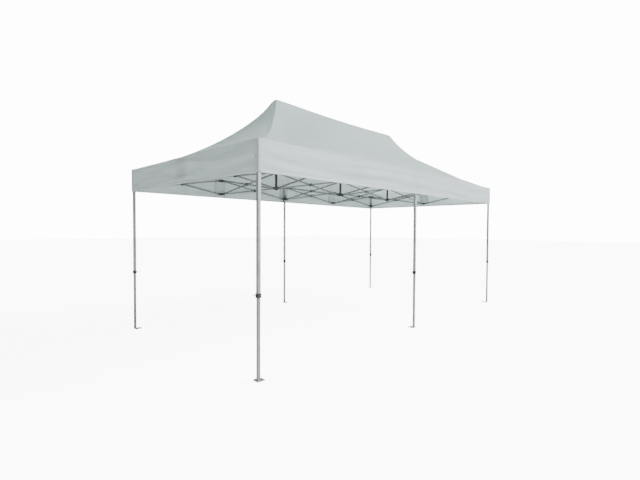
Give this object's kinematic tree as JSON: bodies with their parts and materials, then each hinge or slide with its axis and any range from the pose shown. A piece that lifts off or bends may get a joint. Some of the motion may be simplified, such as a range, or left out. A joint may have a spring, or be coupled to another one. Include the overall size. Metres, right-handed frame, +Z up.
{
  "type": "pop up gazebo",
  "caption": "Rectangular pop up gazebo: telescoping square legs, folding scissor trusses and a hipped white fabric roof with a straight valance.",
  "frame": {"origin": "on the ground at the centre of the footprint", "axes": "+X along the long side, +Y from the front to the back, +Z up"},
  "size_m": [5.953, 3.003, 3.395],
  "materials": {
    "aluminium": "satin extruded tube",
    "black_plastic": "moulded, fine texture",
    "white_polyester": "coated plain weave, slightly translucent"
  },
  "bodies": {
    "outer_leg_front_left": {"outer_leg_front_left": "aluminium"},
    "inner_leg_front_left": {"inner_leg_front_left": "aluminium"},
    "slider_front_left": {"slider_front_left": "black_plastic"},
    "outer_leg_front_middle": {"outer_leg_front_middle": "aluminium"},
    "inner_leg_front_middle": {"inner_leg_front_middle": "aluminium"},
    "slider_front_middle": {"slider_front_middle": "black_plastic"},
    "outer_leg_front_right": {"outer_leg_front_right": "aluminium"},
    "inner_leg_front_right": {"inner_leg_front_right": "aluminium"},
    "slider_front_right": {"slider_front_right": "black_plastic"},
    "outer_leg_back_left": {"outer_leg_back_left": "aluminium"},
    "inner_leg_back_left": {"inner_leg_back_left": "aluminium"},
    "slider_back_left": {"slider_back_left": "black_plastic"},
    "outer_leg_back_middle": {"outer_leg_back_middle": "aluminium"},
    "inner_leg_back_middle": {"inner_leg_back_middle": "aluminium"},
    "slider_back_middle": {"slider_back_middle": "black_plastic"},
    "outer_leg_back_right": {"outer_leg_back_right": "aluminium"},
    "inner_leg_back_right": {"inner_leg_back_right": "aluminium"},
    "slider_back_right": {"slider_back_right": "black_plastic"},
    "upper_connector_front_left_mid": {"upper_connector_front_left_mid": "black_plastic"},
    "lower_connector_front_left_mid": {"lower_connector_front_left_mid": "black_plastic"},
    "upper_connector_front_right_mid": {"upper_connector_front_right_mid": "black_plastic"},
    "lower_connector_front_right_mid": {"lower_connector_front_right_mid": "black_plastic"},
    "upper_connector_back_left_mid": {"upper_connector_back_left_mid": "black_plastic"},
    "lower_connector_back_left_mid": {"lower_connector_back_left_mid": "black_plastic"},
    "upper_connector_back_right_mid": {"upper_connector_back_right_mid": "black_plastic"},
    "lower_connector_back_right_mid": {"lower_connector_back_right_mid": "black_plastic"},
    "upper_connector_left_mid": {"upper_connector_left_mid": "black_plastic"},
    "lower_connector_left_mid": {"lower_connector_left_mid": "black_plastic"},
    "upper_connector_right_mid": {"upper_connector_right_mid": "black_plastic"},
    "lower_connector_right_mid": {"lower_connector_right_mid": "black_plastic"},
    "front_1_outer_bar": {"front_1_outer_bar": "aluminium"},
    "front_1_inner_bar": {"front_1_inner_bar": "aluminium"},
    "front_2_outer_bar": {"front_2_outer_bar": "aluminium"},
    "front_2_inner_bar": {"front_2_inner_bar": "aluminium"},
    "front_3_outer_bar": {"front_3_outer_bar": "aluminium"},
    "front_3_inner_bar": {"front_3_inner_bar": "aluminium"},
    "front_4_outer_bar": {"front_4_outer_bar": "aluminium"},
    "front_4_inner_bar": {"front_4_inner_bar": "aluminium"},
    "back_1_outer_bar": {"back_1_outer_bar": "aluminium"},
    "back_1_inner_bar": {"back_1_inner_bar": "aluminium"},
    "back_2_outer_bar": {"back_2_outer_bar": "aluminium"},
    "back_2_inner_bar": {"back_2_inner_bar": "aluminium"},
    "back_3_outer_bar": {"back_3_outer_bar": "aluminium"},
    "back_3_inner_bar": {"back_3_inner_bar": "aluminium"},
    "back_4_outer_bar": {"back_4_outer_bar": "aluminium"},
    "back_4_inner_bar": {"back_4_inner_bar": "aluminium"},
    "left_1_outer_bar": {"left_1_outer_bar": "aluminium"},
    "left_1_inner_bar": {"left_1_inner_bar": "aluminium"},
    "left_2_outer_bar": {"left_2_outer_bar": "aluminium"},
    "left_2_inner_bar": {"left_2_inner_bar": "aluminium"},
    "right_1_outer_bar": {"right_1_outer_bar": "aluminium"},
    "right_1_inner_bar": {"right_1_inner_bar": "aluminium"},
    "right_2_outer_bar": {"right_2_outer_bar": "aluminium"},
    "right_2_inner_bar": {"right_2_inner_bar": "aluminium"},
    "peak_mast_left": {"peak_mast_left": "aluminium"},
    "peak_mast_right": {"peak_mast_right": "aluminium"},
    "canopy_front": {"canopy_front": "white_polyester"},
    "canopy_back": {"canopy_back": "white_polyester"},
    "canopy_left": {"canopy_left": "white_polyester"},
    "canopy_right": {"canopy_right": "white_polyester"}
  },
  "joints": [
    {"name": "fold", "type": "hinge", "parent": "outer_leg_front_middle", "child": "front_2_outer_bar", "pos_m": [-0.055, -1.475, 2.32], "axis": [0, -1, 0], "range_deg": [0, 75.6]},
    {"name": "hinge_front_2_inner_bar", "type": "hinge", "parent": "front_2_outer_bar", "child": "front_2_inner_bar", "pos_m": [-0.75, -1.475, 2.205], "axis": [0, 1, 0], "range_deg": [0, 151.2]},
    {"name": "hinge_lower_connector_front_left_mid", "type": "hinge", "parent": "front_2_outer_bar", "child": "lower_connector_front_left_mid", "pos_m": [-1.445, -1.475, 2.09], "axis": [0, 1, 0], "range_deg": [0, 75.6]},
    {"name": "hinge_upper_connector_front_left_mid", "type": "hinge", "parent": "front_2_inner_bar", "child": "upper_connector_front_left_mid", "pos_m": [-1.445, -1.475, 2.32], "axis": [0, -1, 0], "range_deg": [0, 75.6]},
    {"name": "hinge_slider_front_middle", "type": "hinge", "parent": "front_2_inner_bar", "child": "slider_front_middle", "pos_m": [-0.055, -1.475, 2.09], "axis": [0, -1, 0], "range_deg": [0, 75.6]},
    {"name": "hinge_front_1_outer_bar", "type": "hinge", "parent": "lower_connector_front_left_mid", "child": "front_1_outer_bar", "pos_m": [-1.505, -1.475, 2.09], "axis": [0, 1, 0], "range_deg": [0, 75.6]},
    {"name": "hinge_front_1_inner_bar", "type": "hinge", "parent": "front_1_outer_bar", "child": "front_1_inner_bar", "pos_m": [-2.2, -1.475, 2.205], "axis": [0, -1, 0], "range_deg": [0, 151.2]},
    {"name": "hinge_outer_leg_front_left", "type": "hinge", "parent": "front_1_outer_bar", "child": "outer_leg_front_left", "pos_m": [-2.895, -1.475, 2.32], "axis": [0, -1, 0], "range_deg": [0, 75.6]},
    {"name": "hinge_slider_front_left", "type": "hinge", "parent": "front_1_inner_bar", "child": "slider_front_left", "pos_m": [-2.895, -1.475, 2.09], "axis": [0, 1, 0], "range_deg": [0, 75.6]},
    {"name": "hinge_front_3_outer_bar", "type": "hinge", "parent": "outer_leg_front_middle", "child": "front_3_outer_bar", "pos_m": [0.055, -1.475, 2.32], "axis": [0, 1, 0], "range_deg": [0, 75.6]},
    {"name": "hinge_front_3_inner_bar", "type": "hinge", "parent": "front_3_outer_bar", "child": "front_3_inner_bar", "pos_m": [0.75, -1.475, 2.205], "axis": [0, -1, 0], "range_deg": [0, 151.2]},
    {"name": "hinge_lower_connector_front_right_mid", "type": "hinge", "parent": "front_3_outer_bar", "child": "lower_connector_front_right_mid", "pos_m": [1.445, -1.475, 2.09], "axis": [0, -1, 0], "range_deg": [0, 75.6]},
    {"name": "hinge_upper_connector_front_right_mid", "type": "hinge", "parent": "front_3_inner_bar", "child": "upper_connector_front_right_mid", "pos_m": [1.445, -1.475, 2.32], "axis": [0, 1, 0], "range_deg": [0, 75.6]},
    {"name": "hinge_front_4_outer_bar", "type": "hinge", "parent": "lower_connector_front_right_mid", "child": "front_4_outer_bar", "pos_m": [1.505, -1.475, 2.09], "axis": [0, -1, 0], "range_deg": [0, 75.6]},
    {"name": "hinge_front_4_inner_bar", "type": "hinge", "parent": "front_4_outer_bar", "child": "front_4_inner_bar", "pos_m": [2.2, -1.475, 2.205], "axis": [0, 1, 0], "range_deg": [0, 151.2]},
    {"name": "hinge_outer_leg_front_right", "type": "hinge", "parent": "front_4_outer_bar", "child": "outer_leg_front_right", "pos_m": [2.895, -1.475, 2.32], "axis": [0, 1, 0], "range_deg": [0, 75.6]},
    {"name": "hinge_slider_front_right", "type": "hinge", "parent": "front_4_inner_bar", "child": "slider_front_right", "pos_m": [2.895, -1.475, 2.09], "axis": [0, -1, 0], "range_deg": [0, 75.6]},
    {"name": "hinge_left_1_outer_bar", "type": "hinge", "parent": "outer_leg_front_left", "child": "left_1_outer_bar", "pos_m": [-2.95, -1.42, 2.32], "axis": [-1, 0, 0], "range_deg": [0, 75.6]},
    {"name": "hinge_left_1_inner_bar", "type": "hinge", "parent": "left_1_outer_bar", "child": "left_1_inner_bar", "pos_m": [-2.95, -0.725, 2.205], "axis": [1, 0, 0], "range_deg": [0, 151.2]},
    {"name": "hinge_lower_connector_left_mid", "type": "hinge", "parent": "left_1_outer_bar", "child": "lower_connector_left_mid", "pos_m": [-2.95, -0.03, 2.09], "axis": [1, 0, 0], "range_deg": [0, 75.6]},
    {"name": "hinge_upper_connector_left_mid", "type": "hinge", "parent": "left_1_inner_bar", "child": "upper_connector_left_mid", "pos_m": [-2.95, -0.03, 2.32], "axis": [-1, 0, 0], "range_deg": [0, 75.6]},
    {"name": "hinge_left_2_inner_bar", "type": "hinge", "parent": "upper_connector_left_mid", "child": "left_2_inner_bar", "pos_m": [-2.95, 0.03, 2.32], "axis": [-1, 0, 0], "range_deg": [0, 75.6]},
    {"name": "hinge_left_2_outer_bar", "type": "hinge", "parent": "left_2_inner_bar", "child": "left_2_outer_bar", "pos_m": [-2.95, 0.725, 2.205], "axis": [1, 0, 0], "range_deg": [0, 151.2]},
    {"name": "hinge_outer_leg_back_left", "type": "hinge", "parent": "left_2_outer_bar", "child": "outer_leg_back_left", "pos_m": [-2.95, 1.42, 2.32], "axis": [-1, 0, 0], "range_deg": [0, 75.6]},
    {"name": "hinge_slider_back_left", "type": "hinge", "parent": "left_2_inner_bar", "child": "slider_back_left", "pos_m": [-2.95, 1.42, 2.09], "axis": [1, 0, 0], "range_deg": [0, 75.6]},
    {"name": "hinge_right_1_outer_bar", "type": "hinge", "parent": "outer_leg_front_right", "child": "right_1_outer_bar", "pos_m": [2.95, -1.42, 2.32], "axis": [-1, 0, 0], "range_deg": [0, 75.6]},
    {"name": "hinge_right_1_inner_bar", "type": "hinge", "parent": "right_1_outer_bar", "child": "right_1_inner_bar", "pos_m": [2.95, -0.725, 2.205], "axis": [1, 0, 0], "range_deg": [0, 151.2]},
    {"name": "hinge_lower_connector_right_mid", "type": "hinge", "parent": "right_1_outer_bar", "child": "lower_connector_right_mid", "pos_m": [2.95, -0.03, 2.09], "axis": [1, 0, 0], "range_deg": [0, 75.6]},
    {"name": "hinge_upper_connector_right_mid", "type": "hinge", "parent": "right_1_inner_bar", "child": "upper_connector_right_mid", "pos_m": [2.95, -0.03, 2.32], "axis": [-1, 0, 0], "range_deg": [0, 75.6]},
    {"name": "hinge_right_2_inner_bar", "type": "hinge", "parent": "upper_connector_right_mid", "child": "right_2_inner_bar", "pos_m": [2.95, 0.03, 2.32], "axis": [-1, 0, 0], "range_deg": [0, 75.6]},
    {"name": "hinge_right_2_outer_bar", "type": "hinge", "parent": "right_2_inner_bar", "child": "right_2_outer_bar", "pos_m": [2.95, 0.725, 2.205], "axis": [1, 0, 0], "range_deg": [0, 151.2]},
    {"name": "hinge_outer_leg_back_right", "type": "hinge", "parent": "right_2_outer_bar", "child": "outer_leg_back_right", "pos_m": [2.95, 1.42, 2.32], "axis": [-1, 0, 0], "range_deg": [0, 75.6]},
    {"name": "hinge_slider_back_right", "type": "hinge", "parent": "right_2_inner_bar", "child": "slider_back_right", "pos_m": [2.95, 1.42, 2.09], "axis": [1, 0, 0], "range_deg": [0, 75.6]},
    {"name": "hinge_back_1_outer_bar", "type": "hinge", "parent": "outer_leg_back_left", "child": "back_1_outer_bar", "pos_m": [-2.895, 1.475, 2.32], "axis": [0, 1, 0], "range_deg": [0, 75.6]},
    {"name": "hinge_back_1_inner_bar", "type": "hinge", "parent": "back_1_outer_bar", "child": "back_1_inner_bar", "pos_m": [-2.2, 1.475, 2.205], "axis": [0, -1, 0], "range_deg": [0, 151.2]},
    {"name": "hinge_lower_connector_back_left_mid", "type": "hinge", "parent": "back_1_outer_bar", "child": "lower_connector_back_left_mid", "pos_m": [-1.505, 1.475, 2.09], "axis": [0, -1, 0], "range_deg": [0, 75.6]},
    {"name": "hinge_upper_connector_back_left_mid", "type": "hinge", "parent": "back_1_inner_bar", "child": "upper_connector_back_left_mid", "pos_m": [-1.505, 1.475, 2.32], "axis": [0, 1, 0], "range_deg": [0, 75.6]},
    {"name": "hinge_back_2_inner_bar", "type": "hinge", "parent": "upper_connector_back_left_mid", "child": "back_2_inner_bar", "pos_m": [-1.445, 1.475, 2.32], "axis": [0, 1, 0], "range_deg": [0, 75.6]},
    {"name": "hinge_back_2_outer_bar", "type": "hinge", "parent": "back_2_inner_bar", "child": "back_2_outer_bar", "pos_m": [-0.75, 1.475, 2.205], "axis": [0, -1, 0], "range_deg": [0, 151.2]},
    {"name": "hinge_outer_leg_back_middle", "type": "hinge", "parent": "back_2_outer_bar", "child": "outer_leg_back_middle", "pos_m": [-0.055, 1.475, 2.32], "axis": [0, 1, 0], "range_deg": [0, 75.6]},
    {"name": "hinge_slider_back_middle", "type": "hinge", "parent": "back_2_inner_bar", "child": "slider_back_middle", "pos_m": [-0.055, 1.475, 2.09], "axis": [0, -1, 0], "range_deg": [0, 75.6]},
    {"name": "hinge_back_4_outer_bar", "type": "hinge", "parent": "outer_leg_back_right", "child": "back_4_outer_bar", "pos_m": [2.895, 1.475, 2.32], "axis": [0, -1, 0], "range_deg": [0, 75.6]},
    {"name": "hinge_back_4_inner_bar", "type": "hinge", "parent": "back_4_outer_bar", "child": "back_4_inner_bar", "pos_m": [2.2, 1.475, 2.205], "axis": [0, 1, 0], "range_deg": [0, 151.2]},
    {"name": "hinge_lower_connector_back_right_mid", "type": "hinge", "parent": "back_4_outer_bar", "child": "lower_connector_back_right_mid", "pos_m": [1.505, 1.475, 2.09], "axis": [0, 1, 0], "range_deg": [0, 75.6]},
    {"name": "hinge_upper_connector_back_right_mid", "type": "hinge", "parent": "back_4_inner_bar", "child": "upper_connector_back_right_mid", "pos_m": [1.505, 1.475, 2.32], "axis": [0, -1, 0], "range_deg": [0, 75.6]},
    {"name": "hinge_back_3_outer_bar", "type": "hinge", "parent": "outer_leg_back_middle", "child": "back_3_outer_bar", "pos_m": [0.055, 1.475, 2.32], "axis": [0, 1, 0], "range_deg": [0, 75.6]},
    {"name": "hinge_back_3_inner_bar", "type": "hinge", "parent": "back_3_outer_bar", "child": "back_3_inner_bar", "pos_m": [0.75, 1.475, 2.205], "axis": [0, -1, 0], "range_deg": [0, 151.2]},
    {"name": "mast_left_draw_in", "type": "slide", "parent": "lower_connector_front_left_mid", "child": "peak_mast_left", "axis": [0, -1, 0], "range_m": [0, 1.26711]},
    {"name": "mast_right_draw_in", "type": "slide", "parent": "lower_connector_front_right_mid", "child": "peak_mast_right", "axis": [0, -1, 0], "range_m": [0, 1.26711]},
    {"name": "canopy_front_hang", "type": "hinge", "parent": "outer_leg_front_middle", "child": "canopy_front", "pos_m": [0, -1.3715, 2.4], "axis": [-1, 0, 0], "range_deg": [0, 125.01], "deforming": ["canopy_front"]},
    {"name": "canopy_back_hang", "type": "hinge", "parent": "upper_connector_back_left_mid", "child": "canopy_back", "pos_m": [0, 1.3715, 2.4], "axis": [1, 0, 0], "range_deg": [0, 125.01], "deforming": ["canopy_back"]},
    {"name": "canopy_left_hang", "type": "hinge", "parent": "upper_connector_left_mid", "child": "canopy_left", "pos_m": [-2.8465, 0, 2.4], "axis": [0, 1, 0], "range_deg": [0, 125.01], "deforming": ["canopy_left"]},
    {"name": "canopy_right_hang", "type": "hinge", "parent": "upper_connector_right_mid", "child": "canopy_right", "pos_m": [2.8465, 0, 2.4], "axis": [0, -1, 0], "range_deg": [0, 125.01], "deforming": ["canopy_right"]},
    {"name": "leg_height_front_left", "type": "slide", "parent": "outer_leg_front_left", "child": "inner_leg_front_left", "axis": [0, 0, 1], "range_m": [0, 0.79]},
    {"name": "leg_height_front_middle", "type": "slide", "parent": "outer_leg_front_middle", "child": "inner_leg_front_middle", "axis": [0, 0, 1], "range_m": [0, 0.79]},
    {"name": "leg_height_front_right", "type": "slide", "parent": "outer_leg_front_right", "child": "inner_leg_front_right", "axis": [0, 0, 1], "range_m": [0, 0.79]},
    {"name": "leg_height_back_left", "type": "slide", "parent": "outer_leg_back_left", "child": "inner_leg_back_left", "axis": [0, 0, 1], "range_m": [0, 0.79]},
    {"name": "leg_height_back_middle", "type": "slide", "parent": "outer_leg_back_middle", "child": "inner_leg_back_middle", "axis": [0, 0, 1], "range_m": [0, 0.79]},
    {"name": "leg_height_back_right", "type": "slide", "parent": "outer_leg_back_right", "child": "inner_leg_back_right", "axis": [0, 0, 1], "range_m": [0, 0.79]}
  ],
  "couplings": [
    {"joint": "hinge_front_2_inner_bar", "follows": "fold", "ratio": 2},
    {"joint": "hinge_lower_connector_front_left_mid", "follows": "fold", "ratio": 1},
    {"joint": "hinge_upper_connector_front_left_mid", "follows": "fold", "ratio": 1},
    {"joint": "hinge_slider_front_middle", "follows": "fold", "ratio": 1},
    {"joint": "hinge_front_1_outer_bar", "follows": "fold", "ratio": 1},
    {"joint": "hinge_front_1_inner_bar", "follows": "fold", "ratio": 2},
    {"joint": "hinge_outer_leg_front_left", "follows": "fold", "ratio": 1},
    {"joint": "hinge_slider_front_left", "follows": "fold", "ratio": 1},
    {"joint": "hinge_front_3_outer_bar", "follows": "fold", "ratio": 1},
    {"joint": "hinge_front_3_inner_bar", "follows": "fold", "ratio": 2},
    {"joint": "hinge_lower_connector_front_right_mid", "follows": "fold", "ratio": 1},
    {"joint": "hinge_upper_connector_front_right_mid", "follows": "fold", "ratio": 1},
    {"joint": "hinge_front_4_outer_bar", "follows": "fold", "ratio": 1},
    {"joint": "hinge_front_4_inner_bar", "follows": "fold", "ratio": 2},
    {"joint": "hinge_outer_leg_front_right", "follows": "fold", "ratio": 1},
    {"joint": "hinge_slider_front_right", "follows": "fold", "ratio": 1},
    {"joint": "hinge_left_1_outer_bar", "follows": "fold", "ratio": 1},
    {"joint": "hinge_left_1_inner_bar", "follows": "fold", "ratio": 2},
    {"joint": "hinge_lower_connector_left_mid", "follows": "fold", "ratio": 1},
    {"joint": "hinge_upper_connector_left_mid", "follows": "fold", "ratio": 1},
    {"joint": "hinge_left_2_inner_bar", "follows": "fold", "ratio": 1},
    {"joint": "hinge_left_2_outer_bar", "follows": "fold", "ratio": 2},
    {"joint": "hinge_outer_leg_back_left", "follows": "fold", "ratio": 1},
    {"joint": "hinge_slider_back_left", "follows": "fold", "ratio": 1},
    {"joint": "hinge_right_1_outer_bar", "follows": "fold", "ratio": 1},
    {"joint": "hinge_right_1_inner_bar", "follows": "fold", "ratio": 2},
    {"joint": "hinge_lower_connector_right_mid", "follows": "fold", "ratio": 1},
    {"joint": "hinge_upper_connector_right_mid", "follows": "fold", "ratio": 1},
    {"joint": "hinge_right_2_inner_bar", "follows": "fold", "ratio": 1},
    {"joint": "hinge_right_2_outer_bar", "follows": "fold", "ratio": 2},
    {"joint": "hinge_outer_leg_back_right", "follows": "fold", "ratio": 1},
    {"joint": "hinge_slider_back_right", "follows": "fold", "ratio": 1},
    {"joint": "hinge_back_1_outer_bar", "follows": "fold", "ratio": 1},
    {"joint": "hinge_back_1_inner_bar", "follows": "fold", "ratio": 2},
    {"joint": "hinge_lower_connector_back_left_mid", "follows": "fold", "ratio": 1},
    {"joint": "hinge_upper_connector_back_left_mid", "follows": "fold", "ratio": 1},
    {"joint": "hinge_back_2_inner_bar", "follows": "fold", "ratio": 1},
    {"joint": "hinge_back_2_outer_bar", "follows": "fold", "ratio": 2},
    {"joint": "hinge_outer_leg_back_middle", "follows": "fold", "ratio": 1},
    {"joint": "hinge_slider_back_middle", "follows": "fold", "ratio": 1},
    {"joint": "hinge_back_4_outer_bar", "follows": "fold", "ratio": 1},
    {"joint": "hinge_back_4_inner_bar", "follows": "fold", "ratio": 2},
    {"joint": "hinge_lower_connector_back_right_mid", "follows": "fold", "ratio": 1},
    {"joint": "hinge_upper_connector_back_right_mid", "follows": "fold", "ratio": 1},
    {"joint": "hinge_back_3_outer_bar", "follows": "fold", "ratio": 1},
    {"joint": "hinge_back_3_inner_bar", "follows": "fold", "ratio": 2},
    {"joint": "mast_left_draw_in", "follows": "fold", "m_per_rad": 0.96031},
    {"joint": "mast_right_draw_in", "follows": "fold", "m_per_rad": 0.96031},
    {"joint": "canopy_front_hang", "follows": "fold", "ratio": 1.6534},
    {"joint": "canopy_back_hang", "follows": "fold", "ratio": 1.6534},
    {"joint": "canopy_left_hang", "follows": "fold", "ratio": 1.6534},
    {"joint": "canopy_right_hang", "follows": "fold", "ratio": 1.6534}
  ]
}
